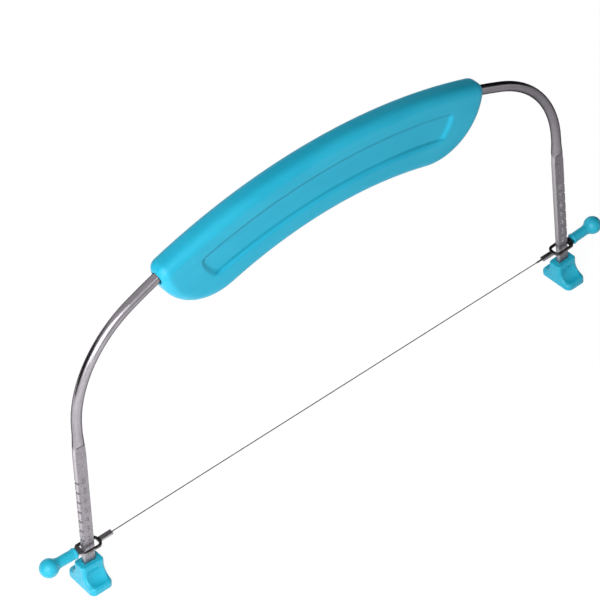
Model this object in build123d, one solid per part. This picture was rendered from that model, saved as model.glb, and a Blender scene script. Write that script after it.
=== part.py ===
from build123d import *
import os
from math import asin, cos, hypot, radians, sin, sqrt, tan

os.makedirs("parts", exist_ok=True)

# Frame of the part: X runs along the cutting wire, Y from front to back, Z up from the table.
# A leg has a frame of its own: x points outward from the bow, z runs up the leg.

# Bow: one bent steel rod, pressed flat below the bends
wire_span = 300.0            # between the two leg axes at the lowest notch
lowest_notch_height = 21.8   # above the table
leg_splay = 3.5              # each leg leans outward at the bottom, in degrees
rod_diameter = 5.0
arch_radius = 281.0          # to the middle of the rod
shoulder_radius = 59.0
pressed_leg_width = 6.4
pressed_leg_thickness = 2.8
pressed_leg_top = 84.0       # where the flat faces begin to run out
press_runout_radius = 3.0
swell_start_height = 92.0    # the rod starts to widen here
swell_length = 12.0
plain_leg_length = 3.763     # straight round rod between the swelling and the shoulder bend
leg_edge_round = 0.35

# Notches in the outer edge of each leg
notch_count = 8
notch_pitch = 6.0
notch_width = 1.4
notch_depth = 1.0

# Handle: a front and a back shell closed round the rod
handle_length = 190.0
handle_height = 37.0         # at the middle
handle_thickness = 12.6
handle_cover_over_rod = 3.5  # plastic above the rod
handle_belly_radius = 205.0  # hollow curve of the lower edge
handle_end_radius = 29.5
handle_corner_radius = 5.0
handle_edge_radius = 4.8
grip_recess_end_gap = 22.2   # from the end of the handle to the recess's floor
grip_recess_height = 11.5    # of its floor
grip_recess_depth = 1.15
grip_recess_drop = 12.25     # from the rod's centre down to the middle of the floor
grip_recess_end_radius = 20.0
grip_recess_upper_corner = 1.0
grip_recess_lower_corner = 4.0
grip_recess_wall_slope = 62.0
grip_recess_soft_radius = 3.0  # where the walls meet the floor and the outer face
handle_face_wall = 3.0
handle_rim_wall = 3.2
rib_thickness = 1.6
rib_spacing = 30.0
rib_count = 5
rod_seat_clearance = 0.05
rod_mouth_diameter = 7.0
rod_mouth_depth = 1.4
peg_diameter = 3.0
peg_length = 2.4
peg_clearance = 0.05
peg_boss_wall = 1.2
peg_end_gap = 21.0           # from the end of the handle to the outer pegs

# Feet: moulded sockets on the ends of the legs
foot_width = 12.2
foot_depth = 20.4
foot_height = 13.0
foot_floor = 2.6
foot_toe_height = 3.6
foot_toe_land = 0.8
foot_hollow_radius = 5.5
foot_plan_corner = 2.8
foot_edge_radius = 1.6
foot_rim_radius = 0.7
foot_dish_radius = 4.9
foot_dish_width = 10.4
foot_dish_shift_in = 0.95
foot_dish_shift_down = 0.75
foot_dish_crown = 0.65      # how much lower the dish's die is at its sides
foot_base_corner = 0.5
foot_mark_length = 4.0       # raised moulding mark on the front and back of the collar
foot_mark_diameter = 1.0
foot_mark_height = 10.6
foot_mark_relief = 0.2
foot_socket_clearance = 0.05

# Clips: stamped from one steel sheet, a loop round the leg and a folded sleeve for the wire
clip_thickness = 1.0
clip_bar_width = 1.25
clip_window_width = 5.5
clip_slide_gap = 0.25        # between the leg's outer edge and the loop
clip_inner_gap = 2.2         # between the leg's inner edge and the loop
clip_window_round = 2.0
clip_loop_round = 2.8
clip_shoulder_length = 2.2
clip_tail_width = 3.2
clip_tail_length = 5.8
clip_neck_length = 0.7
clip_neck_width = 2.6
sleeve_length = 6.3
sleeve_width = 2.8
sleeve_wall = 0.45
sleeve_end_wall = 0.5
sleeve_flap_step = 0.25
sleeve_flap_share = 0.62

# Wire
wire_diameter = 0.5
wire_slide_clearance = 0.12
wire_reach_into_sleeve = 2.2

# Knobs: moulded on the tails of the clips
knob_ball_diameter = 9.3
knob_neck_diameter = 5.2
knob_collar_diameter = 5.7
knob_collar_length = 1.5
knob_collar_bevel = 0.4
knob_ball_reach = 14.8       # from the knob's inner end to the centre of the ball
knob_blend_radius = 5.0
knob_socket_clearance = 0.05

# Sizes that follow
half_span = wire_span / 2
rod_radius = rod_diameter / 2
pressed_half_width = pressed_leg_width / 2
pressed_half_thickness = pressed_leg_thickness / 2
splay = radians(leg_splay)
base_half_span = half_span + lowest_notch_height * tan(splay)
notch_rise = lowest_notch_height / cos(splay)
bend_rise = swell_start_height + plain_leg_length
shoulder_x = base_half_span - bend_rise * sin(splay) - shoulder_radius * cos(splay)
shoulder_height = bend_rise * cos(splay) - shoulder_radius * sin(splay)
arch_slope = asin(shoulder_x / (arch_radius - shoulder_radius))
arch_centre_height = shoulder_height - (arch_radius - shoulder_radius) * cos(arch_slope)
arch_apex_height = arch_centre_height + arch_radius
handle_half_thickness = handle_thickness / 2
handle_top_radius = arch_radius + rod_radius + handle_cover_over_rod
handle_top_height = arch_centre_height + handle_top_radius
handle_belly_height = handle_top_height - handle_height
grip_recess_length = handle_length - grip_recess_end_gap * 2
peg_spread = handle_length / 2 - peg_end_gap


def leg_plane(side):
    """Frame of one leg: origin where its axis meets the table, x outward, z up the leg."""
    return Plane(
        origin=(side * base_half_span, 0, 0),
        x_dir=(side * cos(splay), 0, sin(splay)),
        z_dir=(-side * sin(splay), 0, cos(splay)),
    )


def arch_point(radius, angle):
    """Point on a circle round the arch's centre, the angle counted from straight up."""
    return (radius * sin(angle), arch_centre_height + radius * cos(angle))


def leg_point(side, rise):
    """Point on a leg's axis in the plane of the bow."""
    return (side * (base_half_span - rise * sin(splay)), rise * cos(splay))


def make_bow():
    """The bent rod with both legs pressed flat, notched along their outer edges."""
    middle = (arch_slope + radians(90) - splay) / 2
    shoulder_mid = (
        shoulder_x + shoulder_radius * sin(middle),
        shoulder_height + shoulder_radius * cos(middle),
    )
    join = arch_point(arch_radius, arch_slope)
    foot_of_bend = leg_point(1, bend_rise)
    start = leg_point(1, swell_start_height)

    def mirrored(point):
        return (-point[0], point[1])

    path = Wire(
        [
            Line(start, foot_of_bend),
            ThreePointArc(foot_of_bend, shoulder_mid, join),
            ThreePointArc(join, (0, arch_apex_height), mirrored(join)),
            ThreePointArc(mirrored(join), mirrored(shoulder_mid), mirrored(foot_of_bend)),
            Line(mirrored(foot_of_bend), mirrored(start)),
        ]
    )
    path = Plane.XZ * path
    section = Plane(origin=path @ 0, z_dir=path % 0) * Circle(rod_radius)
    bow = sweep(section, path=path)
    for side in (-1, 1):
        bow += leg_plane(side).location * make_leg()
    return bow


def make_leg():
    """One leg in its own frame, from its end in the foot up to where the plain rod starts."""
    swell_end = swell_start_height - swell_length
    straight = Pos(0, 0, foot_floor) * Cylinder(
        pressed_half_width, swell_end - foot_floor, align=(Align.CENTER, Align.CENTER, Align.MIN)
    )
    cone = Pos(0, 0, swell_end) * Cone(
        pressed_half_width, rod_radius, swell_length, align=(Align.CENTER, Align.CENTER, Align.MIN)
    )
    leg = straight + cone
    for face in (-1, 1):
        leg -= press_tool(face)
    long_edges = leg.edges().filter_by(
        lambda edge: edge.length > pressed_leg_top / 2 and abs(edge.center().Y) > pressed_half_thickness / 2
    )
    leg = fillet(long_edges, leg_edge_round)
    for number in range(notch_count):
        leg -= Pos(0, 0, notch_rise + number * notch_pitch) * notch_tool()
    return leg


def press_tool(face):
    """What the press takes off one wide face, with a rounded run-out at the top."""
    reach = pressed_leg_width
    flat = Pos(0, face * pressed_half_thickness, 0) * Box(
        reach,
        reach,
        pressed_leg_top,
        align=(Align.CENTER, Align.MIN if face > 0 else Align.MAX, Align.MIN),
    )
    runout = Pos(0, face * (pressed_half_thickness + press_runout_radius), pressed_leg_top) * (
        Rot(0, 90, 0) * Cylinder(press_runout_radius, reach)
    )
    return flat + runout


def notch_tool():
    """A round-bottomed slot across the outer edge of the leg."""
    radius = notch_width / 2
    floor = pressed_half_width - notch_depth
    round_end = Pos(floor + radius, 0, 0) * (Rot(90, 0, 0) * Cylinder(radius, pressed_leg_width))
    open_end = Pos(floor + radius, 0, 0) * Box(
        pressed_leg_width, pressed_leg_width, notch_width, align=(Align.MIN, Align.CENTER, Align.CENTER)
    )
    return round_end + open_end


def between(centre, start, end):
    """Middle of the short arc from start to end round a centre."""
    first = (start[0] - centre[0], start[1] - centre[1])
    second = (end[0] - centre[0], end[1] - centre[1])
    total = (first[0] + second[0], first[1] + second[1])
    scale = hypot(*first) / hypot(*total)
    return (centre[0] + total[0] * scale, centre[1] + total[1] * scale)


def stretched(centre, point, radius):
    """Point in the same direction from a centre, at a given distance from it."""
    scale = radius / hypot(point[0] - centre[0], point[1] - centre[1])
    return (centre[0] + (point[0] - centre[0]) * scale, centre[1] + (point[1] - centre[1]) * scale)


def crossing(first, first_radius, second, second_radius):
    """Upper outer crossing of two circles given by centre and radius."""
    step = (second[0] - first[0], second[1] - first[1])
    length = hypot(*step)
    along = (first_radius**2 - second_radius**2 + length**2) / (2 * length)
    across = sqrt(first_radius**2 - along**2)
    unit = (step[0] / length, step[1] / length)
    return (first[0] + unit[0] * along + unit[1] * across, first[1] + unit[1] * along - unit[0] * across)


def handle_end_centre():
    """Centre of the large round at the right end of the handle."""
    end_x = handle_length / 2 - handle_end_radius
    rise = sqrt((handle_belly_radius + handle_end_radius) ** 2 - end_x**2)
    return (end_x, handle_belly_height - handle_belly_radius + rise)


def handle_outline():
    """Side outline of the handle: a top arc, small upper corners, large lower ends, a hollow belly."""
    arch_centre = (0, arch_centre_height)
    belly_centre = (0, handle_belly_height - handle_belly_radius)
    end_centre = handle_end_centre()
    corner_centre = crossing(
        arch_centre,
        handle_top_radius - handle_corner_radius,
        end_centre,
        handle_end_radius - handle_corner_radius,
    )
    top_join = stretched(arch_centre, corner_centre, handle_top_radius)
    end_join = stretched(end_centre, corner_centre, handle_end_radius)
    belly_join = stretched(belly_centre, end_centre, handle_belly_radius)
    corner_mid = between(corner_centre, top_join, end_join)
    end_mid = between(end_centre, end_join, belly_join)

    def mirrored(point):
        return (-point[0], point[1])

    edges = [
        ThreePointArc(mirrored(top_join), (0, handle_top_height), top_join),
        ThreePointArc(top_join, corner_mid, end_join),
        ThreePointArc(end_join, end_mid, belly_join),
        ThreePointArc(belly_join, (0, handle_belly_height), mirrored(belly_join)),
        ThreePointArc(mirrored(belly_join), mirrored(end_mid), mirrored(end_join)),
        ThreePointArc(mirrored(end_join), mirrored(corner_mid), mirrored(top_join)),
    ]
    return make_face(edges)


def recess_outline():
    """Side outline of the recess's floor: a band along the arch, closed by round ends."""
    outer_radius = arch_radius - grip_recess_drop + grip_recess_height / 2
    inner_radius = outer_radius - grip_recess_height
    band = Pos(0, arch_centre_height) * (Circle(outer_radius) - Circle(inner_radius))
    reach = grip_recess_length - grip_recess_end_radius * 2
    limits = Pos(0, handle_end_centre()[1]) * SlotCenterToCenter(reach, grip_recess_end_radius * 2)
    floor = (band & limits).faces()[0]
    corners = floor.vertices().sort_by(Axis.Y)
    floor = fillet(corners[2:], grip_recess_upper_corner)
    lower_corners = [floor.vertices().sort_by_distance(corner)[0] for corner in corners[:2]]
    return fillet(lower_corners, grip_recess_lower_corner)


def in_bow_plane(face, depth):
    """A face drawn in x and z, stood up in the plane of the bow at a depth from front to back."""
    return Pos(0, depth, 0) * (Plane.XZ * face)


def shell_blank(face_sign):
    """Outer form of one shell: half the thickness, with its outer edge well rounded."""
    blank = extrude(in_bow_plane(handle_outline(), 0), handle_half_thickness, dir=(0, face_sign, 0))
    outer_edges = blank.edges().filter_by(
        lambda edge: abs(edge.center().Y) > handle_half_thickness - leg_edge_round
    )
    return fillet(outer_edges, handle_edge_radius)


def recess_tool(face_sign):
    """The long recess in the outer face, with sloping walls."""
    depth = face_sign * (handle_half_thickness - grip_recess_depth)
    floor = in_bow_plane(recess_outline(), depth)
    return extrude(floor, grip_recess_depth * 2, dir=(0, face_sign, 0), taper=-grip_recess_wall_slope)


def pressed_recess(shell, face_sign):
    """The shell with the recess sunk in its outer face, its walls eased at the top and bottom."""
    shell -= recess_tool(face_sign)
    outer_face = shell.faces().sort_by(Axis.Y)[0 if face_sign < 0 else -1]
    floor_depth = handle_half_thickness - grip_recess_depth
    floor_faces = shell.faces().filter_by(
        lambda face: abs(face.center().Y * face_sign - floor_depth) < grip_recess_depth / 10
        and face.is_planar
    )
    rim_edges = outer_face.inner_wires()[0].edges()
    return fillet(rim_edges + floor_faces[0].edges(), grip_recess_soft_radius)


def hollow_tool(face_sign):
    """The space inside one shell."""
    rim = offset(handle_outline(), amount=-handle_rim_wall)
    depth = handle_half_thickness - handle_face_wall
    return extrude(in_bow_plane(rim, 0), depth, dir=(0, face_sign, 0))


def rod_tunnel():
    """Room for the rod through both shells, with a wider mouth at each end."""
    half_length = handle_length / 2
    angle = asin(half_length / arch_radius)
    past = angle * (half_length + rod_diameter) / half_length
    spine = Plane.XZ * ThreePointArc(
        arch_point(arch_radius, -past), arch_point(arch_radius, 0), arch_point(arch_radius, past)
    )
    section = Plane(origin=spine @ 0, z_dir=spine % 0) * Circle(rod_radius + rod_seat_clearance)
    tunnel = sweep(section, path=spine)
    for side in (-1, 1):
        x, z = arch_point(arch_radius, side * angle)
        mouth_plane = Plane(origin=(x, 0, z), z_dir=(side * cos(angle), 0, -sin(angle)))
        tunnel += mouth_plane.location * Cylinder(rod_mouth_diameter / 2, rod_mouth_depth * 2)
    return tunnel


def peg_places():
    """Where the two shells are pegged together, in x and z."""
    middle_radius = arch_radius - grip_recess_drop
    angle = asin(peg_spread / middle_radius)
    return [arch_point(middle_radius, turn) for turn in (-angle, 0, angle)]


def across_shell(point, diameter, start, end):
    """A round bar from front to back through a point of the bow's plane, between two depths."""
    bar = Cylinder(diameter / 2, abs(end - start), align=(Align.CENTER, Align.CENTER, Align.CENTER))
    return Pos(point[0], (start + end) / 2, point[1]) * (Rot(90, 0, 0) * bar)


def make_shell(face_sign, tunnel):
    """One moulded shell: outer form, grip recess, hollow, ribs, rod seat and peg bosses."""
    hollow = hollow_tool(face_sign)
    shell = pressed_recess(shell_blank(face_sign), face_sign) - hollow
    inner_face = face_sign * (handle_half_thickness - handle_face_wall)
    for number in range(rib_count):
        place = (number - (rib_count - 1) / 2) * rib_spacing
        rib = Pos(place, 0, handle_top_height) * Box(rib_thickness, handle_thickness, handle_height * 2)
        shell += rib & hollow
    boss_diameter = peg_diameter + (peg_boss_wall + peg_clearance) * 2
    for point in peg_places():
        shell += across_shell(point, boss_diameter, 0, inner_face)
    shell -= tunnel
    for point in peg_places():
        if face_sign < 0:
            shell += across_shell(point, peg_diameter, inner_face, peg_length)
        else:
            hole = peg_diameter + peg_clearance * 2
            shell -= across_shell(point, hole, 0, peg_length + peg_clearance)
    return shell


def foot_side_profile():
    """Outline of a foot seen from the side: a collar flaring in a hollow curve to two toes."""
    half_depth = foot_depth / 2
    toe_in = half_depth - foot_toe_land
    collar = toe_in - foot_hollow_radius
    hollow_top = foot_toe_height + foot_hollow_radius
    bottom = -foot_base_corner
    turn = foot_hollow_radius * (1 - cos(radians(45)))
    points = []
    for side in (-1, 1):
        half = [
            (side * toe_in, foot_toe_height),
            (side * (collar + turn), foot_toe_height + turn),
            (side * collar, hollow_top),
        ]
        points.append(half)
    back, front = points
    edges = [
        Line((-half_depth, bottom), (-half_depth, foot_toe_height)),
        Line((-half_depth, foot_toe_height), back[0]),
        ThreePointArc(*back),
        Line(back[2], (-collar, foot_height)),
        Line((-collar, foot_height), (collar, foot_height)),
        Line((collar, foot_height), front[2]),
        ThreePointArc(front[2], front[1], front[0]),
        Line(front[0], (half_depth, foot_toe_height)),
        Line((half_depth, foot_toe_height), (half_depth, bottom)),
        Line((half_depth, bottom), (-half_depth, bottom)),
    ]
    return make_face(edges)


def dish_tool(face):
    """What a rounded die leaves as the shallow dish in one slope of the foot."""
    toe_in = foot_depth / 2 - foot_toe_land
    depth = face * (toe_in - foot_dish_shift_in)
    height = foot_toe_height + foot_hollow_radius - foot_dish_shift_down
    half_width = foot_dish_width / 2
    side_radius = foot_dish_radius - foot_dish_crown
    profile = make_face(
        [
            Line((-half_width, 0), (-half_width, side_radius)),
            ThreePointArc((-half_width, side_radius), (0, foot_dish_radius), (half_width, side_radius)),
            Line((half_width, side_radius), (half_width, 0)),
            Line((half_width, 0), (-half_width, 0)),
        ]
    )
    return Pos(0, depth, height) * revolve(Plane.XY * profile, axis=Axis.X)


def foot_mark(face):
    """A short bar with round ends, standing a little out of the collar."""
    collar = foot_depth / 2 - foot_toe_land - foot_hollow_radius
    radius = foot_mark_diameter / 2
    reach = foot_mark_length / 2 - radius
    bar = Rot(0, 90, 0) * Cylinder(radius, reach * 2)
    bar += Pos(reach, 0, 0) * Sphere(radius) + Pos(-reach, 0, 0) * Sphere(radius)
    return Pos(0, face * (collar + foot_mark_relief - radius), foot_mark_height) * bar


def make_foot(side):
    """One moulded foot, flat on the table, with a blind socket for the leg."""
    flare = extrude(Plane.YZ * foot_side_profile(), foot_width / 2, both=True)
    plan = Pos(0, 0, -foot_base_corner) * extrude(
        RectangleRounded(foot_width, foot_depth, foot_plan_corner), foot_height + foot_base_corner
    )
    body = flare & plan
    collar_rim = foot_height - foot_rim_radius
    soft_edges = body.edges().filter_by(lambda edge: foot_edge_radius < edge.center().Z < collar_rim)
    body = fillet(soft_edges, foot_edge_radius)
    rim_edges = body.edges().filter_by(lambda edge: edge.center().Z > collar_rim)
    body = fillet(rim_edges, foot_rim_radius)
    for face in (-1, 1):
        body -= dish_tool(face)
        body += foot_mark(face)
    body = leg_plane(side).location * body
    under = Pos(side * base_half_span, 0, 0) * Box(
        foot_depth * 2, foot_depth * 2, foot_height, align=(Align.CENTER, Align.CENTER, Align.MAX)
    )
    body -= under
    socket = Pos(0, 0, foot_floor - foot_socket_clearance) * Box(
        pressed_leg_width + foot_socket_clearance * 2,
        pressed_leg_thickness + foot_socket_clearance * 2,
        foot_height,
        align=(Align.CENTER, Align.CENTER, Align.MIN),
    )
    return body - leg_plane(side).location * socket


def clip_window():
    """Inner ends of the clip's window along the leg's outward direction, and its length."""
    inner = -(pressed_half_width + clip_inner_gap)
    outer = pressed_half_width + clip_slide_gap
    return inner, outer


def make_clip(side):
    """A stamped loop round the leg, with a tail for the knob and a folded sleeve for the wire."""
    inner, outer = clip_window()
    loop_inner = inner - clip_bar_width
    loop_outer = outer + clip_bar_width
    half_window = clip_window_width / 2
    half_loop = half_window + clip_bar_width
    loop = Pos((loop_inner + loop_outer) / 2, 0) * Rectangle(loop_outer - loop_inner, half_loop * 2)
    inner_corners = loop.vertices().filter_by(lambda v: v.X < 0)
    loop = fillet(inner_corners, clip_loop_round)
    tail_start = loop_outer + clip_shoulder_length
    half_tail = clip_tail_width / 2
    shoulder = make_face(
        Polyline(
            (outer, half_loop),
            (loop_outer - clip_bar_width / 2, half_loop),
            (tail_start, half_tail),
            (tail_start, -half_tail),
            (loop_outer - clip_bar_width / 2, -half_loop),
            (outer, -half_loop),
            close=True,
        )
    )
    tail = Pos(tail_start, 0) * Rectangle(clip_tail_length, clip_tail_width, align=(Align.MIN, Align.CENTER))
    neck_end = loop_inner - clip_neck_length
    neck = Pos(neck_end, 0) * Rectangle(
        clip_neck_length + clip_bar_width, clip_neck_width, align=(Align.MIN, Align.CENTER)
    )
    window = Pos((inner + outer) / 2, 0) * Rectangle(outer - inner, clip_window_width)
    window_corners = window.vertices().filter_by(lambda v: v.X < 0)
    window = fillet(window_corners, clip_window_round)
    sheet = (loop & Rectangle(loop_outer * 4, half_loop * 2)) - Pos(loop_outer, 0) * Rectangle(
        clip_bar_width, half_loop * 4
    )
    sheet = sheet + shoulder + tail + neck - window
    clip = extrude(sheet, clip_thickness / 2, both=True)
    clip += Pos(neck_end, 0, 0) * (Rot(0, leg_splay, 0) * make_sleeve())
    return leg_plane(side).location * (Pos(0, 0, notch_rise) * clip)


def sleeve_bore_height():
    """Height of the sleeve's bore: the wire with room to slide."""
    return wire_diameter + wire_slide_clearance * 2


def make_sleeve():
    """The folded sleeve, running inward from x = 0, flat, with a step where the sheet laps over."""
    bore_height = sleeve_bore_height()
    height = bore_height + sleeve_wall * 2
    outer = Pos(sleeve_end_wall, 0, 0) * Box(
        sleeve_length + sleeve_end_wall, sleeve_width, height, align=(Align.MAX, Align.CENTER, Align.CENTER)
    )
    long_edges = outer.edges().filter_by(Axis.X)
    outer = fillet(long_edges, sleeve_wall)
    flap_width = sleeve_width * (1 - sleeve_flap_share)
    step = Pos(-sleeve_length / 2, sleeve_width / 2, height / 2) * Box(
        sleeve_length, flap_width, sleeve_flap_step, align=(Align.CENTER, Align.MAX, Align.MAX)
    )
    bore = Pos(-sleeve_end_wall, 0, 0) * Box(
        sleeve_length, bore_height * 2, bore_height, align=(Align.MAX, Align.CENTER, Align.CENTER)
    )
    return outer - step - bore


def make_knob(side):
    """A ball knob turned about the clip's tail, with a soft neck and a collar at its inner end."""
    start = clip_window()[1] + clip_bar_width + clip_shoulder_length
    ball_radius = knob_ball_diameter / 2
    neck_radius = knob_neck_diameter / 2
    collar_radius = knob_collar_diameter / 2
    neck = Rectangle(knob_ball_reach, neck_radius, align=(Align.MIN, Align.MIN))
    ball = Pos(knob_ball_reach, 0) * Circle(ball_radius)
    upper = Rectangle(knob_ball_reach * 2, ball_radius, align=(Align.MIN, Align.MIN))
    half = neck + (ball & upper)
    meeting = half.vertices().filter_by(
        lambda v: abs(v.Y - neck_radius) < knob_socket_clearance and v.X > knob_collar_length
    )
    half = fillet(meeting, knob_blend_radius)
    collar = Rectangle(knob_collar_length, collar_radius, align=(Align.MIN, Align.MIN))
    collar_corners = collar.vertices().filter_by(lambda v: v.Y > neck_radius)
    collar = chamfer(collar_corners, knob_collar_bevel)
    form = revolve(Plane.XY * (half + collar), axis=Axis.X)
    socket = Box(
        clip_tail_length + knob_socket_clearance,
        clip_tail_width + knob_socket_clearance * 2,
        clip_thickness + knob_socket_clearance * 2,
        align=(Align.MIN, Align.CENTER, Align.CENTER),
    )
    knob = Pos(start, 0, notch_rise) * (form - socket)
    return leg_plane(side).location * knob


def make_wire():
    """The taut cutting wire, its ends lying in the sleeves of the two clips."""
    neck_end = clip_window()[0] - clip_bar_width - clip_neck_length
    mouth = half_span + neck_end * cos(splay) - sleeve_length
    height = lowest_notch_height + neck_end * sin(splay)
    length = (mouth + wire_reach_into_sleeve) * 2
    return Pos(0, 0, height) * (Rot(0, 90, 0) * Cylinder(wire_diameter / 2, length))


def save(name, solid):
    """Write one named piece."""
    export_step(solid, f"parts/{name}.step")


if __name__ == "__main__":
    save("bow_rod", make_bow())
    tunnel = rod_tunnel()
    save("handle_front_shell", make_shell(-1, tunnel))
    save("handle_back_shell", make_shell(1, tunnel))
    for side, word in ((-1, "left"), (1, "right")):
        save(f"{word}_foot", make_foot(side))
        save(f"{word}_clip", make_clip(side))
        save(f"{word}_knob", make_knob(side))
    save("cutting_wire", make_wire())
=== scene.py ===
import logging
from dataclasses import dataclass
from enum import Enum
from math import asin, cos, pi, radians, sin, tan
from typing import Iterable

import bpy
import numpy as np
from mathutils import Matrix, Vector


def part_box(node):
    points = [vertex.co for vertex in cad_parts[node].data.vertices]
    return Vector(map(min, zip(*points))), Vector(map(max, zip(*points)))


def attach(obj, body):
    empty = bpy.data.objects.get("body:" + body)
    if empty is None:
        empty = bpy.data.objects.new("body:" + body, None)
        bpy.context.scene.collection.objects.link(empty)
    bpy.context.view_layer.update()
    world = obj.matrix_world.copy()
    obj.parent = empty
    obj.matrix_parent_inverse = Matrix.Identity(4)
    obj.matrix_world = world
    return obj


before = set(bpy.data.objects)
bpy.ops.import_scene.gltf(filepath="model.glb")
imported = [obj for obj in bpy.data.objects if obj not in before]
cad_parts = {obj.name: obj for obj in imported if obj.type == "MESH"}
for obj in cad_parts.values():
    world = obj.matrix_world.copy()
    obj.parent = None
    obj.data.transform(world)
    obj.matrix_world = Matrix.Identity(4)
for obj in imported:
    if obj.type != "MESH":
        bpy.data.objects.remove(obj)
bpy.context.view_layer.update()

log = logging.getLogger("cake_leveler")

MM = 0.001
# The sockets that Blender's Mix node uses for colours, by number.
MIX_SHARE, MIX_FIRST, MIX_SECOND, MIX_RESULT = 0, 6, 7, 2
Colour = tuple[float, float, float]
Span = tuple[float, float]
Band = tuple[float, float, float, float]


class Body(Enum):
    """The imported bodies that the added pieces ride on."""

    BOW = "bow"
    LEFT_HOOK = "left_hook"
    RIGHT_HOOK = "right_hook"


class Slot(Enum):
    """Names of two material slots in the record; nothing in the script uses them."""

    ROD = "rod_steel"
    WIRE = "wire_steel"


class Side(Enum):
    """The two ends of the bow, by the sign of X."""

    LEFT = -1
    RIGHT = 1

    @property
    def word(self) -> str:
        """The side's name in lower case."""
        return self.name.lower()


@dataclass(frozen=True)
class BowSize:
    """Driving sizes of the bow in metres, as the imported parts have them."""

    wire_span: float = 300 * MM
    lowest_notch_height: float = 21.8 * MM
    leg_splay: float = radians(3.5)
    arch_radius: float = 281 * MM
    shoulder_radius: float = 59 * MM
    bend_rise: float = 95.763 * MM
    leg_width: float = 6.4 * MM
    leg_thickness: float = 2.8 * MM
    leg_top: float = 84 * MM
    notch_count: int = 8
    notch_pitch: float = 6 * MM

    @property
    def base_half_span(self) -> float:
        """Distance from the middle to a leg's axis at the table."""
        return self.wire_span / 2 + self.lowest_notch_height * tan(self.leg_splay)

    @property
    def notch_rise(self) -> float:
        """How far up the leg's axis the lowest notch lies."""
        return self.lowest_notch_height / cos(self.leg_splay)

    @property
    def shoulder_x(self) -> float:
        """Sideways place of a shoulder bend's centre."""
        lean = self.bend_rise * sin(self.leg_splay)
        return self.base_half_span - lean - self.shoulder_radius * cos(self.leg_splay)

    @property
    def shoulder_z(self) -> float:
        """Height of a shoulder bend's centre."""
        return self.bend_rise * cos(self.leg_splay) - self.shoulder_radius * sin(self.leg_splay)

    @property
    def arch_slope(self) -> float:
        """Angle from straight up at which the arch meets a shoulder bend."""
        return asin(self.shoulder_x / (self.arch_radius - self.shoulder_radius))

    @property
    def arch_z(self) -> float:
        """Height of the arch's centre."""
        return self.shoulder_z - (self.arch_radius - self.shoulder_radius) * cos(self.arch_slope)

    def leg_axes(self, side: Side) -> np.ndarray:
        """Directions of one leg's own frame.

        Args:
            side: which leg.

        Returns:
            Rows for outward, front-to-back and up the leg.
        """
        lean = side.value * sin(self.leg_splay)
        out = (side.value * cos(self.leg_splay), 0, sin(self.leg_splay))
        return np.array([out, (0, 1, 0), (-lean, 0, cos(self.leg_splay))])

    def on_leg(self, side: Side, points: np.ndarray) -> np.ndarray:
        """Carries points from a leg's own frame into the frame of the part.

        Args:
            side: which leg.
            points: rows of outward, front-to-back and up-the-leg distances.

        Returns:
            The same points in the part's frame.
        """
        origin = np.array([side.value * self.base_half_span, 0, 0])
        return origin + points @ self.leg_axes(side)


class Signal:
    """A shader socket that takes part in Python sums: each operator adds one Math node."""

    def __init__(self, bench: "Bench", socket: bpy.types.NodeSocket) -> None:
        """Remembers the bench that the socket stands on."""
        self.bench = bench
        self.socket = socket

    def math(self, operation: str, *values: "Signal | float") -> "Signal":
        """Adds a Math node on this signal's bench.

        Args:
            operation: the node's operation.
            values: its inputs in order, this signal among them.

        Returns:
            The node's result.
        """
        settings = {"operation": operation}
        node = self.bench.add("ShaderNodeMath", settings, dict(enumerate(values)))
        return Signal(self.bench, node.outputs[0])

    def __add__(self, other: "Signal | float") -> "Signal":
        """Sum."""
        return self.math("ADD", self, other)

    __radd__ = __add__

    def __mul__(self, other: "Signal | float") -> "Signal":
        """Product."""
        return self.math("MULTIPLY", self, other)

    __rmul__ = __mul__

    def __sub__(self, other: "Signal | float") -> "Signal":
        """Difference."""
        return self.math("SUBTRACT", self, other)

    def __rsub__(self, other: float) -> "Signal":
        """Difference from a number."""
        return self.math("SUBTRACT", other, self)

    def __truediv__(self, other: "Signal | float") -> "Signal":
        """Quotient."""
        return self.math("DIVIDE", self, other)

    def __pow__(self, other: "Signal | float") -> "Signal":
        """Power."""
        return self.math("POWER", self, other)

    def __abs__(self) -> "Signal":
        """Size without sign."""
        return self.math("ABSOLUTE", self)

    def ramp(self, start: float, end: float) -> "Signal":
        """Rises smoothly from 0 to 1, and falls where start is the larger.

        Args:
            start: the signal's value at which the ramp is 0.
            end: its value at which the ramp is 1.

        Returns:
            The ramp's value.
        """
        settings = {"interpolation_type": "SMOOTHSTEP"}
        values = {"Value": self, "From Min": start, "From Max": end}
        return Signal(self.bench, self.bench.add("ShaderNodeMapRange", settings, values).outputs[0])

    def band(self, foot: float, top: float, edge: float, end: float) -> "Signal":
        """1 between two ramps: it rises from foot to top and falls from edge to end."""
        return self.ramp(foot, top) * self.ramp(end, edge)


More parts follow.
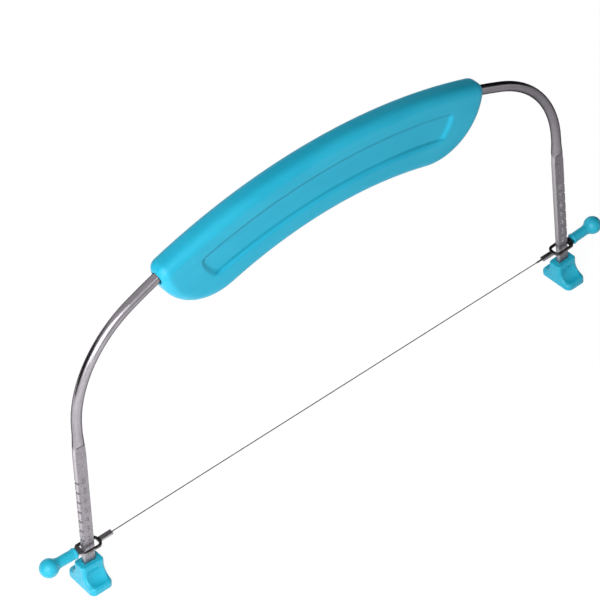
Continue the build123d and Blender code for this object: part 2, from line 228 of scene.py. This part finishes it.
class Bench:
    """The node tree of one finish, with one method that adds any node."""

    def __init__(self, owner: bpy.types.Material | bpy.types.World) -> None:
        """Empties a node tree and takes it over.

        Args:
            owner: the material or world that the tree belongs to.
        """
        owner.use_nodes = True
        self.owner = owner
        self.tree = owner.node_tree
        self.tree.nodes.clear()

    def add(
        self, kind: str, settings: dict | None = None, values: dict | None = None
    ) -> bpy.types.Node:
        """Adds a node.

        Args:
            kind: Blender's name for the node's type.
            settings: its properties, set before its sockets are used.
            values: a number, colour or Signal for each socket, by name or by number.

        Returns:
            The node.
        """
        node = self.tree.nodes.new(kind)
        for key, value in (settings or {}).items():
            setattr(node, key, value)
        for key, value in (values or {}).items():
            if isinstance(value, Signal):
                self.tree.links.new(value.socket, node.inputs[key])
            else:
                node.inputs[key].default_value = value
        return node

    def place(self) -> Signal:
        """The point being shaded, in the piece's own frame."""
        return Signal(self, self.add("ShaderNodeTexCoord").outputs["Object"])

    def split(self, point: Signal) -> tuple[Signal, Signal, Signal]:
        """The three parts of a point."""
        node = self.add("ShaderNodeSeparateXYZ", values={"Vector": point})
        return tuple(Signal(self, node.outputs[axis]) for axis in "XYZ")

    def join(self, x: Signal | float, y: Signal | float, z: Signal | float) -> Signal:
        """A point made of three parts."""
        node = self.add("ShaderNodeCombineXYZ", values={"X": x, "Y": y, "Z": z})
        return Signal(self, node.outputs["Vector"])

    def noise(
        self, point: Signal, size: float, detail: float = 2, roughness: float = 0.5
    ) -> Signal:
        """Smooth noise from 0 to 1.

        Args:
            point: where it is read.
            size: rough size of one blotch, in the point's own unit.
            detail: how many finer layers lie on it.
            roughness: how strong those layers are.

        Returns:
            The noise's value.
        """
        values = {"Vector": point, "Scale": 1 / size, "Detail": detail, "Roughness": roughness}
        return Signal(self, self.add("ShaderNodeTexNoise", values=values).outputs["Fac"])

    def blend(
        self, share: Signal | float, first: Signal | Colour, second: Signal | Colour
    ) -> Signal:
        """Mixes two colours.

        Args:
            share: 0 gives the first, 1 the second.
            first: a colour, or a signal that carries one.
            second: the same.

        Returns:
            The mixed colour.
        """
        first, second = (c if isinstance(c, Signal) else (*c, 1) for c in (first, second))
        values = {MIX_SHARE: share, MIX_FIRST: first, MIX_SECOND: second}
        node = self.add("ShaderNodeMix", {"data_type": "RGBA"}, values)
        return Signal(self, node.outputs[MIX_RESULT])

    def vary(self, level: float, *noises: tuple[Signal, float]) -> Signal:
        """A level that noises raise and lower.

        Args:
            level: its value where every noise stands at a half.
            noises: each noise, with how far the level moves from its 0 to its 1.

        Returns:
            The varied level.
        """
        total = level - sum(reach for _, reach in noises) / 2
        for noise, reach in noises:
            total = noise * reach + total
        return total

    def bump(self, height: Signal, depth: float, strength: float) -> Signal:
        """Turns a height from 0 to 1 into a normal.

        Args:
            height: the relief.
            depth: how deep its whole range is, in metres.
            strength: how much of it shows.

        Returns:
            The bent normal.
        """
        values = {"Height": height, "Distance": depth, "Strength": strength}
        return Signal(self, self.add("ShaderNodeBump", values=values).outputs["Normal"])

    def close(self, shader: bpy.types.Node) -> bpy.types.Material:
        """Ends a material's tree in a shader, and gives the material."""
        self.add("ShaderNodeOutputMaterial", values={"Surface": Signal(self, shader.outputs[0])})
        return self.owner

    def finish(self, **sockets: Signal | float | Colour) -> bpy.types.Material:
        """Ends the tree in a Principled shader.

        Args:
            sockets: the shader's inputs, with underscores in place of spaces.

        Returns:
            The material.
        """
        values = {}
        for key, value in sockets.items():
            values[key.replace("_", " ")] = (*value, 1) if isinstance(value, tuple) else value
        return self.close(self.add("ShaderNodeBsdfPrincipled", values=values))


@dataclass(frozen=True)
class SatinPlastic:
    """Turquoise moulded plastic: fine spark grain, faint flow marks and a parting line at y = 0.

    The knobs and feet come from a smoother mould than the handle, glossier and a little greener,
    and tinted paler as a painted sheen.
    Painted shade darkens the walls of the handle's recess. A contrast is the pair of noise
    values between which a blend runs, and a share is how far it goes.
    """

    size: BowSize
    colour: Colour = (0.006, 0.412, 0.612)
    pale: Colour = (0.020, 0.482, 0.692)
    # Colour of the painted shade on the walls of the handle's recess.
    shade: Colour = (0.002, 0.250, 0.390)
    gloss: float = 0.38
    roughness: float = 0.48
    relief_depth: float = 0.048 * MM
    relief_strength: float = 0.5

    grain: float = 0.16 * MM
    grain_share: float = 0.15
    grain_relief: float = 0.25
    grain_matt: float = 0.08
    smudge: float = 6 * MM
    smudge_matt: float = 0.10

    flow: float = 14 * MM
    flow_stretch: float = 0.35
    flow_contrast: Span = (0.3, 0.7)
    flow_share: float = 0.6

    parting_width: float = 0.10 * MM
    parting_core: float = 0.3
    parting_run: float = 9 * MM
    parting_contrast: Span = (0.45, 0.6)
    # How far the raised parting line is tinted paler, a painted highlight.
    parting_share: float = 0.25

    # Knobs and feet: tinted greener, and paler as a painted sheen.
    small_colour: Colour = (0.016, 0.448, 0.622)
    small_share: float = 0.8
    small_from: Span = (115 * MM, 120 * MM)
    small_smoothness: float = 0.6
    small_polish: float = 0.05

    recess_drop: float = 12.25 * MM
    recess_half_height: float = 5.75 * MM
    recess_reach: Span = (76 * MM, 72 * MM)
    recess_face: Span = (6.28 * MM, 6.1 * MM)
    upper_wall: Band = (-0.3 * MM, 0.5 * MM, 2.1 * MM, 2.7 * MM)
    upper_shade: float = 0.45
    lower_wall: Band = (-1.3 * MM, -0.5 * MM, 0.0 * MM, 0.7 * MM)
    lower_shade: float = 0.55
    shade_matt: float = 0.6

    def recess_shade(self, x: Signal, y: Signal, z: Signal) -> Signal:
        """How much painted shade lies on the recess's walls, most on the lower one's foot.

        The walls lie a half height above and below the recess's middle line, which is an arc
        about the arch's centre, and each wall's band is measured from it, more than 0 upward.
        Only what is sunk below the handle's faces is shaded.

        Args:
            x: sideways place.
            y: place from front to back.
            z: height.

        Returns:
            The share of painted shade.
        """
        middle = self.size.arch_radius - self.recess_drop
        radius = (x**2 + (z - self.size.arch_z) ** 2) ** 0.5
        upper = (radius - (middle + self.recess_half_height)).band(*self.upper_wall)
        lower = (radius - (middle - self.recess_half_height)).band(*self.lower_wall)
        sunk = abs(y).ramp(*self.recess_face) * abs(x).ramp(*self.recess_reach)
        return (upper * self.upper_shade + lower * self.lower_shade) * sunk

    def make(self) -> bpy.types.Material:
        """Makes the finish.

        Returns:
            The material.
        """
        bench = Bench(bpy.data.materials.new("turquoise_plastic"))
        point = bench.place()
        x, y, z = bench.split(point)
        flow = bench.noise(bench.join(x * self.flow_stretch, y, z), self.flow)
        grain = bench.noise(point, self.grain, roughness=0.6)
        smudge = bench.noise(point, self.smudge, detail=3, roughness=0.6)
        runs = bench.noise(point, self.parting_run).ramp(*self.parting_contrast)
        line = (1 - (abs(y) / self.parting_width).ramp(self.parting_core, 1)) * runs
        small = abs(x).ramp(*self.small_from)
        shade = self.recess_shade(x, y, z)

        share = flow.ramp(*self.flow_contrast) * self.flow_share + grain * self.grain_share
        # The parting line is tinted paler as a painted highlight of the raised line.
        tone = bench.blend(share + line * self.parting_share, self.colour, self.pale)
        # Knobs and feet take the greener tint, paler as a painted sheen.
        tone = bench.blend(small * self.small_share, tone, self.small_colour)
        matt = bench.vary(self.roughness, (smudge, self.smudge_matt), (grain, self.grain_matt))
        relief = (grain * self.grain_relief + line) * (1 - small * self.small_smoothness)
        return bench.finish(
            # Painted shade darkens the recess's walls.
            Base_Color=bench.blend(shade, tone, self.shade),
            Roughness=matt + shade * self.shade_matt - small * self.small_polish,
            Specular_IOR_Level=self.gloss,
            Normal=bench.bump(relief, self.relief_depth, self.relief_strength),
        )


@dataclass(frozen=True)
class BowSteel:
    """Stainless rod: drawing lines along the round part, a pickled mottle on the pressed faces.

    The narrow sides of the legs are brighter; painted shade darkens the notches' bottoms,
    most toward the back face. The notches' band is measured outward from the leg's outer edge.
    """

    size: BowSize
    colour: Colour = (0.285, 0.270, 0.290)
    dark: Colour = (0.170, 0.158, 0.172)
    bright: Colour = (0.48, 0.46, 0.48)
    rim: Colour = (0.10, 0.09, 0.10)
    # Colour of the painted shade in the notches' bottoms.
    soot: Colour = (0.10, 0.09, 0.10)
    roughness: float = 0.22
    relief_depth: float = 0.02 * MM
    relief_strength: float = 0.35

    streak: float = 0.10 * MM
    streak_stretch: float = 0.008
    streak_relief: float = 0.2
    mottle: float = 0.55 * MM
    mark_contrast: Span = (0.34, 0.66)
    mark_matt: float = 0.08
    patch: float = 5 * MM
    patch_contrast: Span = (0.35, 0.75)
    patch_share: float = 0.35
    patch_matt: float = 0.06

    pressed_runout: Span = (3 * MM, -2 * MM)
    pressed_matt: float = 0.22
    narrow_edge: Span = (0.97, 0.80)
    narrow_share: float = 0.8
    notch_bottom: Band = (-1.15 * MM, -1.0 * MM, -0.7 * MM, -0.3 * MM)
    # Where across the thickness the notches' painted shade sets in and is full, toward the back.
    notch_soot: Span = (0.2 * MM, 1.0 * MM)

    def across(self, x: Signal, z: Signal) -> Signal:
        """Distance from the rod's centre line in the plane of the bow.

        On the arch and on a shoulder bend it is the distance from that arc's centre less its
        radius, and below the bends it is the outward distance from the leg's axis.

        Args:
            x: sideways place.
            z: height.

        Returns:
            The distance in metres, more than 0 on the outer side.
        """
        size = self.size
        side = abs(x)
        arch = (side**2 + (z - size.arch_z) ** 2) ** 0.5 - size.arch_radius
        run, rise = side - size.shoulder_x, z - size.shoulder_z
        bend = (run**2 + rise**2) ** 0.5 - size.shoulder_radius
        leg = (side - size.base_half_span) * cos(size.leg_splay) + z * sin(size.leg_splay)
        on_arch = side.math("LESS_THAN", side, size.arch_radius * sin(size.arch_slope))
        on_leg = z.math("LESS_THAN", z, size.bend_rise * cos(size.leg_splay))
        upper = arch * on_arch + bend * (1 - on_arch)
        return leg * on_leg + upper * (1 - on_leg)

    def make(self) -> bpy.types.Material:
        """Makes the finish.

        Returns:
            The material.
        """
        bench = Bench(bpy.data.materials.new("bow_steel"))
        point = bench.place()
        x, y, z = bench.split(point)
        across = self.across(x, z)
        along = (x + z) * self.streak_stretch
        streaks = bench.noise(bench.join(across, y, along), self.streak, roughness=0.6)
        mottle = bench.noise(point, self.mottle, detail=4, roughness=0.65)
        patches = bench.noise(point, self.patch, detail=3, roughness=0.6)

        above, below = self.pressed_runout
        pressed = z.ramp(self.size.leg_top + above, self.size.leg_top + below)
        narrow = pressed * (abs(y) / (self.size.leg_thickness / 2)).ramp(*self.narrow_edge)
        bottom = (across - self.size.leg_width / 2).band(*self.notch_bottom)
        mark = streaks * (1 - pressed) + mottle * pressed

        tone = bench.blend(mark.ramp(*self.mark_contrast), self.dark, self.colour)
        patchy = patches.ramp(*self.patch_contrast) * self.patch_share
        tone = bench.blend(patchy, tone, self.colour)
        tone = bench.blend(narrow * self.narrow_share, tone, self.bright)
        # Painted shade in the notches' bottoms on the narrow sides, strongest toward the back face.
        tone = bench.blend(bottom * narrow * y.ramp(*self.notch_soot), tone, self.soot)
        matt = bench.vary(self.roughness, (mark, self.mark_matt), (patches, self.patch_matt))
        relief = mark * (pressed * (1 - self.streak_relief) + self.streak_relief)
        return bench.finish(
            Base_Color=tone,
            Metallic=1.0,
            Roughness=matt + pressed * self.pressed_matt,
            Specular_Tint=self.rim,
            Normal=bench.bump(relief, self.relief_depth, self.relief_strength),
        )


@dataclass(frozen=True)
class DarkSteel:
    """Blackened stamping steel, brighter in patches where rubbing bared it, and paler on the
    sleeves and the left tail.

    The sleeves' band is a distance to either side of the bow's middle, and the tail's span a
    place along X.
    """

    colour: Colour = (0.060, 0.056, 0.059)
    rubbed: Colour = (0.26, 0.245, 0.258)
    roughness: float = 0.33
    relief_depth: float = 0.015 * MM
    relief_strength: float = 0.4

    grain: float = 0.22 * MM
    grain_matt: float = 0.16
    rub: float = 1.6 * MM
    rub_contrast: Span = (0.48, 0.72)
    rub_matt: float = -0.06

    sleeve: Band = (136.1 * MM, 136.4 * MM, 142.6 * MM, 143.2 * MM)
    sleeve_wear: float = 0.30
    tail: Span = (-152.5 * MM, -154.5 * MM)
    tail_wear: float = 0.18

    def make(self) -> bpy.types.Material:
        """Makes the finish.

        Returns:
            The material.
        """
        bench = Bench(bpy.data.materials.new("clip_steel_dark"))
        point = bench.place()
        x, _, _ = bench.split(point)
        grain = bench.noise(point, self.grain, detail=4, roughness=0.65)
        rub = bench.noise(point, self.rub, detail=4, roughness=0.7)
        # The sleeves and the left tail are made paler.
        worn = abs(x).band(*self.sleeve) * self.sleeve_wear + x.ramp(*self.tail) * self.tail_wear
        bare = (rub + worn).ramp(*self.rub_contrast)
        return bench.finish(
            Base_Color=bench.blend(bare, self.colour, self.rubbed),
            Metallic=1.0,
            Roughness=bench.vary(self.roughness, (grain, self.grain_matt), (rub, self.rub_matt)),
            Normal=bench.bump(grain, self.relief_depth, self.relief_strength),
        )


@dataclass(frozen=True)
class WireSteel:
    """Drawn steel wire with fine lines along its length."""

    colour: Colour = (0.105, 0.100, 0.105)
    dark: Colour = (0.060, 0.057, 0.060)
    rim: Colour = (0.10, 0.09, 0.10)
    roughness: float = 0.30
    line: float = 0.07 * MM
    line_stretch: float = 0.002
    line_contrast: Span = (0.35, 0.65)
    line_matt: float = 0.12

    def make(self) -> bpy.types.Material:
        """Makes the finish.

        Returns:
            The material.
        """
        bench = Bench(bpy.data.materials.new("wire_steel_drawn"))
        x, y, z = bench.split(bench.place())
        lines = bench.noise(bench.join(x * self.line_stretch, y, z), self.line)
        return bench.finish(
            Base_Color=bench.blend(lines.ramp(*self.line_contrast), self.dark, self.colour),
            Metallic=1.0,
            Roughness=bench.vary(self.roughness, (lines, self.line_matt)),
            Specular_Tint=self.rim,
        )


@dataclass(frozen=True)
class StampedMark:
    """Strokes left by stamps, paler on the right leg as a painted highlight."""

    colour: Colour = (0.130, 0.120, 0.130)
    # Colour of the painted highlight on the right leg's strokes.
    pale: Colour = (0.74, 0.72, 0.75)
    roughness: float = 0.475
    grain: float = 0.5 * MM
    grain_contrast: Span = (0.42, 0.6)
    grain_matt: float = 0.15
    rubbed_side: Span = (-100 * MM, 100 * MM)
    rubbed_share: float = 0.9

    def make(self) -> bpy.types.Material:
        """Makes the finish.

        Returns:
            The material.
        """
        bench = Bench(bpy.data.materials.new("stamped_marks"))
        point = bench.place()
        x, _, _ = bench.split(point)
        grain = bench.noise(point, self.grain, detail=3, roughness=0.7)
        # The right leg's strokes are paler, a painted highlight broken up by the grain.
        rubbed = grain.ramp(*self.grain_contrast) * x.ramp(*self.rubbed_side)
        return bench.finish(
            Base_Color=bench.blend(rubbed * self.rubbed_share, self.colour, self.pale),
            Metallic=1.0,
            Roughness=bench.vary(self.roughness, (grain, self.grain_matt)),
        )


def add_piece(
    name: str, mesh: bpy.types.Mesh, finish: bpy.types.Material, body: Body
) -> None:
    """Puts a finished mesh on a body.

    Args:
        name: the piece's name.
        mesh: its mesh, already in place.
        finish: its material.
        body: what it rides on.
    """
    mesh.materials.clear()
    mesh.materials.append(finish)
    piece = bpy.data.objects.new(name, mesh)
    bpy.context.scene.collection.objects.link(piece)
    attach(piece, body.value)
    log.info("piece %s: %d faces on %s", name, len(mesh.polygons), body.value)


def tube_mesh(name: str, rings: np.ndarray) -> bpy.types.Mesh:
    """Closed tube through rings of points.

    Each ring is joined to the next by quads, and the two end rings are closed by one face each.

    Args:
        name: the mesh's name.
        rings: an array of rings, points and coordinates.

    Returns:
        The mesh, its faces pointing outward where the rings turn left about the way they advance.
    """
    count, around = rings.shape[:2]
    row, column = np.meshgrid(np.arange(count - 1), np.arange(around), indexing="ij")
    here, after = row * around + column, row * around + (column + 1) % around
    quads = np.stack([here, after, after + around, here + around], axis=-1).reshape(-1, 4)
    first = np.arange(around)[::-1]
    last = np.arange(around) + (count - 1) * around
    faces = [*quads.tolist(), first.tolist(), last.tolist()]
    mesh = bpy.data.meshes.new(name)
    mesh.from_pydata(rings.reshape(-1, 3).tolist(), [], faces)
    mesh.polygons.foreach_set("use_smooth", np.ones(len(mesh.polygons), bool))
    mesh.update()
    return mesh


def square_mesh(name: str, half: float) -> bpy.types.Mesh:
    """A flat square about the origin, facing up.

    Args:
        name: the mesh's name.
        half: half its side.

    Returns:
        The mesh.
    """
    corners = [(-half, -half, 0), (half, -half, 0), (half, half, 0), (-half, half, 0)]
    mesh = bpy.data.meshes.new(name)
    mesh.from_pydata(corners, [], [(0, 1, 2, 3)])
    return mesh


def dress(nodes: Iterable[str], finish: bpy.types.Material) -> None:
    """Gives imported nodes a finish.

    Args:
        nodes: their names.
        finish: the material.
    """
    for name in nodes:
        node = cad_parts[name]
        for slot in node.material_slots:
            slot.material = finish
        log.info("node %s: %s", name, finish.name)


@dataclass
class Bow:
    """The bent rod, its handle and its feet, with numbers stamped beside the notches."""

    size: BowSize
    digit_height: float = 3.1 * MM
    digit_extrusion: float = 0.5
    mark_relief: float = 0.02 * MM
    mark_inset: float = 0.3 * MM

    def digit(self, number: int) -> tuple[np.ndarray, list[list[int]]]:
        """One plain digit of height 1, centred on the origin, standing in x and y.

        Its thickness runs from -1 to 1, for the stamp to scale.

        Args:
            number: which digit.

        Returns:
            Its points and faces.
        """
        curve = bpy.data.curves.new("digit", "FONT")
        curve.body = str(number)
        curve.extrude = self.digit_extrusion
        text = bpy.data.objects.new("digit", curve)
        bpy.context.scene.collection.objects.link(text)
        seen = text.evaluated_get(bpy.context.evaluated_depsgraph_get())
        mesh = bpy.data.meshes.new_from_object(seen)
        points = np.zeros(len(mesh.vertices) * 3)
        mesh.vertices.foreach_get("co", points)
        points = points.reshape(-1, 3)
        low, high = points.min(0), points.max(0)
        points = (points - (low + high) / 2) / (high[1] - low[1])
        points[:, 2] = np.sign(points[:, 2])
        faces = [list(face.vertices) for face in mesh.polygons]
        bpy.data.objects.remove(text)
        bpy.data.curves.remove(curve)
        bpy.data.meshes.remove(mesh)
        return points, faces

    def stamp_scale(self, side: Side, finish: bpy.types.Material) -> None:
        """Marks one leg's front face with a number for each notch.

        A digit's x runs along +X, its y up the leg, and its thickness straddles the front face.

        Args:
            side: which leg.
            finish: the marks' material.
        """
        size = self.size
        points, faces, start = [], [], 0
        for index in range(size.notch_count):
            flat, flat_faces = self.digit(index + 1)
            rise = size.notch_rise + index * size.notch_pitch
            out = side.value * flat[:, 0] * self.digit_height - self.mark_inset
            deep = -size.leg_thickness / 2 - flat[:, 2] * self.mark_relief
            placed = np.stack([out, deep, flat[:, 1] * self.digit_height + rise], axis=-1)
            points.append(size.on_leg(side, placed))
            faces += [[corner + start for corner in face] for face in flat_faces]
            start += len(flat)
        name = f"{side.word}_leg_numbers"
        mesh = bpy.data.meshes.new(name)
        mesh.from_pydata(np.concatenate(points).tolist(), [], faces)
        mesh.update()
        add_piece(name, mesh, finish, Body.BOW)

    def build(
        self, steel: bpy.types.Material, plastic: bpy.types.Material, mark: bpy.types.Material
    ) -> None:
        """Dresses the bow's nodes and adds its marks.

        Args:
            steel: the rod's finish.
            plastic: the handle's and feet's finish.
            mark: the numbers' finish.
        """
        dress(["bow_rod"], steel)
        dress(["handle_front_shell", "handle_back_shell", "left_foot", "right_foot"], plastic)
        for side in Side:
            self.stamp_scale(side, mark)


@dataclass
class Hook:
    """A clip with its knob, and on the right the wire's end wound round itself."""

    size: BowSize
    side: Side
    strand: float = 0.24 * MM
    wire: float = 0.50 * MM
    play: float = 0.02 * MM
    twist_length: float = 3.8 * MM
    turns: int = 9
    steps_per_turn: int = 18
    strand_sides: int = 8

    @property
    def body(self) -> Body:
        """What the hook's pieces ride on."""
        return Body[f"{self.side.name}_HOOK"]

    def wind(self, finish: bpy.types.Material) -> None:
        """Winds the wire's dark tail round the wire beside the sleeve.

        The strand's centre turns about the wire's axis at a fixed radius and advances evenly
        towards the middle of the bow, and each ring lies square to it.

        Args:
            finish: the strand's material.
        """
        low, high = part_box(f"{self.side.word}_clip")
        mouth = low.x if self.side is Side.RIGHT else high.x
        wire_low, wire_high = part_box("cutting_wire")
        height = (wire_low.z + wire_high.z) / 2
        turn = np.linspace(0, 2 * pi * self.turns, self.turns * self.steps_per_turn + 1)
        radius = (self.wire + self.strand) / 2 + self.play
        rate = -self.side.value * self.twist_length / turn[-1]
        outward = np.stack([np.zeros_like(turn), np.cos(turn), np.sin(turn)], axis=-1)
        along = np.stack(
            [np.full_like(turn, rate), -radius * np.sin(turn), radius * np.cos(turn)], axis=-1
        )
        along /= np.linalg.norm(along, axis=1, keepdims=True)
        across = np.cross(along, outward)
        centre = outward * radius + np.array([mouth, 0, height])
        centre[:, 0] += rate * turn
        angle = np.linspace(0, 2 * pi, self.strand_sides, endpoint=False)[:, None]
        ring = outward[:, None] * np.cos(angle) + across[:, None] * np.sin(angle)
        mesh = tube_mesh("wire_twist", centre[:, None] + ring * self.strand / 2)
        add_piece(f"{self.side.word}_wire_twist", mesh, finish, self.body)

    def build(self, steel: bpy.types.Material, plastic: bpy.types.Material) -> None:
        """Dresses the clip and its knob.

        Args:
            steel: the clip's finish.
            plastic: the knob's finish.
        """
        dress([f"{self.side.word}_clip"], steel)
        dress([f"{self.side.word}_knob"], plastic)
        if self.side is Side.RIGHT:
            self.wind(steel)


@dataclass(frozen=True)
class Stand:
    """Something square that stands beside the object and faces it.

    Azimuth is in degrees to the right of straight in front, and elevation in degrees above the
    table. Width, and distance from the aim, are in metres. Level is how bright a card is, or how
    bright a lamp makes a white card that faces it, where 1 is white. A black flag's level is 0.
    """

    name: str
    azimuth: float
    elevation: float
    distance: float
    width: float
    level: float


@dataclass
class Studio:
    """White floor, soft lamps, boards for the gloss and the camera at the photograph's angle."""

    floor_width: float = 8.0
    floor_colour: Colour = (0.86, 0.86, 0.86)
    floor_seen: Colour = (0.15, 0.15, 0.15)
    floor_lift: float = 0.72
    camera_lift: float = 0.20
    # Gloss sees painted light on the floor's left and painted shade on its right.
    slant_from: Span = (0.2, -0.2)
    slant_lift: float = 0.85
    slant_drop: float = 0.33
    far_from: Span = (0.4, 1.2)
    far_lift: float = 0.16
    fill_level: float = 0.17

    key_lamp: Stand = Stand("key_lamp", -58, 28, distance=0.85, width=0.7, level=1.25)
    back_lamp: Stand = Stand("back_lamp", 150, 4, distance=0.85, width=0.7, level=0.5)
    boards: tuple[Stand, ...] = (
        Stand("upper_card", -12, 36, distance=0.85, width=0.32, level=1.9),
        Stand("side_card", -60, 2, distance=0.60, width=0.32, level=1.9),
        Stand("right_flag", 112, 30, distance=1.2, width=1.9, level=0),
        Stand("low_flag", -125, 2, distance=0.6, width=1.9 / 3, level=0),
    )
    cloth: Colour = (0.03, 0.03, 0.035)

    azimuth: float = radians(-36.634)
    elevation: float = radians(42.347)
    roll: float = radians(-4.686)
    distance: float = 1.2170
    aim: tuple[float, float, float] = (-0.01783, 0.0, 0.09097)
    lens: float = 158.010
    sensor_width: float = 36

    def seen(self, bench: Bench) -> tuple[Signal, Signal, Signal]:
        """Tells what looks at a surface.

        Args:
            bench: the tree that asks.

        Returns:
            1 for the camera, gloss or a view through glass and 0 for light, then the same for
            gloss alone and for the camera alone.
        """
        path = bench.add("ShaderNodeLightPath")
        camera, glossy, through = (
            Signal(bench, path.outputs[name])
            for name in ("Is Camera Ray", "Is Glossy Ray", "Is Transmission Ray")
        )
        either = camera.math("MAXIMUM", camera, glossy)
        return either.math("MAXIMUM", either, through), glossy, camera

    def lay_floor(self) -> None:
        """Lays a pale floor that keeps a faint shadow and carries painted light for gloss on the
        left.
        """
        floor = bpy.data.objects.new("floor", square_mesh("floor", self.floor_width / 2))
        bpy.context.scene.collection.objects.link(floor)
        bench = Bench(bpy.data.materials.new("floor_white"))
        seen, glossy, camera = self.seen(bench)
        colour = bench.blend(camera, self.floor_colour, self.floor_seen)
        paper = bench.add("ShaderNodeBsdfDiffuse", values={"Color": colour})
        x, y, _ = bench.split(bench.place())
        # To gloss only: painted light on the floor's left, painted shade on its right.
        slant = glossy * (x.ramp(*self.slant_from) * self.slant_lift - self.slant_drop)
        far = ((x**2 + y**2) ** 0.5).ramp(*self.far_from) * self.far_lift
        glow = seen * (far + self.floor_lift) + camera * self.camera_lift + slant
        lift = bench.add("ShaderNodeEmission", values={"Strength": glow})
        layers = {0: Signal(bench, paper.outputs[0]), 1: Signal(bench, lift.outputs[0])}
        floor.data.materials.append(bench.close(bench.add("ShaderNodeAddShader", values=layers)))

    def light_world(self) -> None:
        """Sets a white surround that lights the object evenly at a low level."""
        world = bpy.data.worlds.new("surround")
        bpy.context.scene.world = world
        bench = Bench(world)
        seen, _, _ = self.seen(bench)
        level = seen * (1 - self.fill_level) + self.fill_level
        values = {"Color": (1, 1, 1, 1), "Strength": level}
        ground = bench.add("ShaderNodeBackground", values=values)
        bench.add("ShaderNodeOutputWorld", values={"Surface": Signal(bench, ground.outputs[0])})

    def direction(self, azimuth: float, elevation: float) -> Vector:
        """Unit vector from the object towards a viewer at those angles."""
        flat = cos(elevation)
        return Vector((sin(azimuth) * flat, -cos(azimuth) * flat, sin(elevation)))

    def facing(self, stand: Stand) -> Matrix:
        """Place of something that looks back at the aim.

        Args:
            stand: where it stands.

        Returns:
            Its matrix, with its own Z axis pointing away from the object.
        """
        towards = self.direction(radians(stand.azimuth), radians(stand.elevation))
        turn = towards.to_track_quat("Z", "Y").to_matrix().to_4x4()
        return Matrix.Translation(Vector(self.aim) + towards * stand.distance) @ turn

    def hang_lamp(self, stand: Stand) -> bpy.types.Object:
        """Hangs a square soft lamp that looks at the object.

        Its power in watts is its level times the square of pi times its distance.

        Args:
            stand: its name, place, width and level.

        Returns:
            The lamp's object.
        """
        lamp = bpy.data.lights.new(stand.name, "AREA")
        lamp.size = stand.width
        lamp.energy = stand.level * (pi * stand.distance) ** 2
        holder = bpy.data.objects.new(stand.name, lamp)
        bpy.context.scene.collection.objects.link(holder)
        holder.matrix_world = self.facing(stand)
        return holder

    def raise_board(self, stand: Stand) -> None:
        """Raises a board that only gloss sees: a bright card, or a black flag at level 0.

        Args:
            stand: its name, place, width and level.
        """
        board = bpy.data.objects.new(stand.name, square_mesh(stand.name, stand.width / 2))
        bpy.context.scene.collection.objects.link(board)
        if stand.level:
            bench = Bench(bpy.data.materials.new("bright_card"))
            face = bench.add("ShaderNodeEmission", values={"Strength": stand.level})
        else:
            bench = Bench(bpy.data.materials.new("black_cloth"))
            face = bench.add("ShaderNodeBsdfDiffuse", values={"Color": (*self.cloth, 1)})
        board.data.materials.append(bench.close(face))
        board.matrix_world = self.facing(stand)
        board.visible_camera = board.visible_diffuse = board.visible_shadow = False

    def set_camera(self) -> None:
        """Places the camera: it looks at the aim, turned a little about its line of sight."""
        camera = bpy.data.cameras.new("camera")
        camera.lens = self.lens
        camera.sensor_width = self.sensor_width
        holder = bpy.data.objects.new("camera", camera)
        bpy.context.scene.collection.objects.link(holder)
        back = self.direction(self.azimuth, self.elevation)
        right = Vector((0, 0, 1)).cross(back).normalized()
        axes = Matrix((right, back.cross(right), back)).transposed()
        turn = (axes @ Matrix.Rotation(self.roll, 3, "Z")).to_4x4()
        holder.matrix_world = Matrix.Translation(Vector(self.aim) + back * self.distance) @ turn
        bpy.context.scene.camera = holder

    def build(self) -> None:
        """Sets the whole stage."""
        self.set_camera()
        self.lay_floor()
        self.light_world()
        self.hang_lamp(self.key_lamp)
        self.hang_lamp(self.back_lamp).visible_glossy = False
        for board in self.boards:
            self.raise_board(board)
        bpy.context.scene.view_settings.view_transform = "Standard"


def main() -> None:
    """Builds the classes in order and reports each piece."""
    logging.basicConfig(level=logging.INFO, format="%(name)s %(message)s")
    size = BowSize()
    Studio().build()
    plastic = SatinPlastic(size).make()
    dark = DarkSteel().make()
    Bow(size).build(BowSteel(size).make(), plastic, StampedMark().make())
    for side in Side:
        Hook(size, side).build(dark, plastic)
    dress(["cutting_wire"], WireSteel().make())


if __name__ == "__main__":
    main()
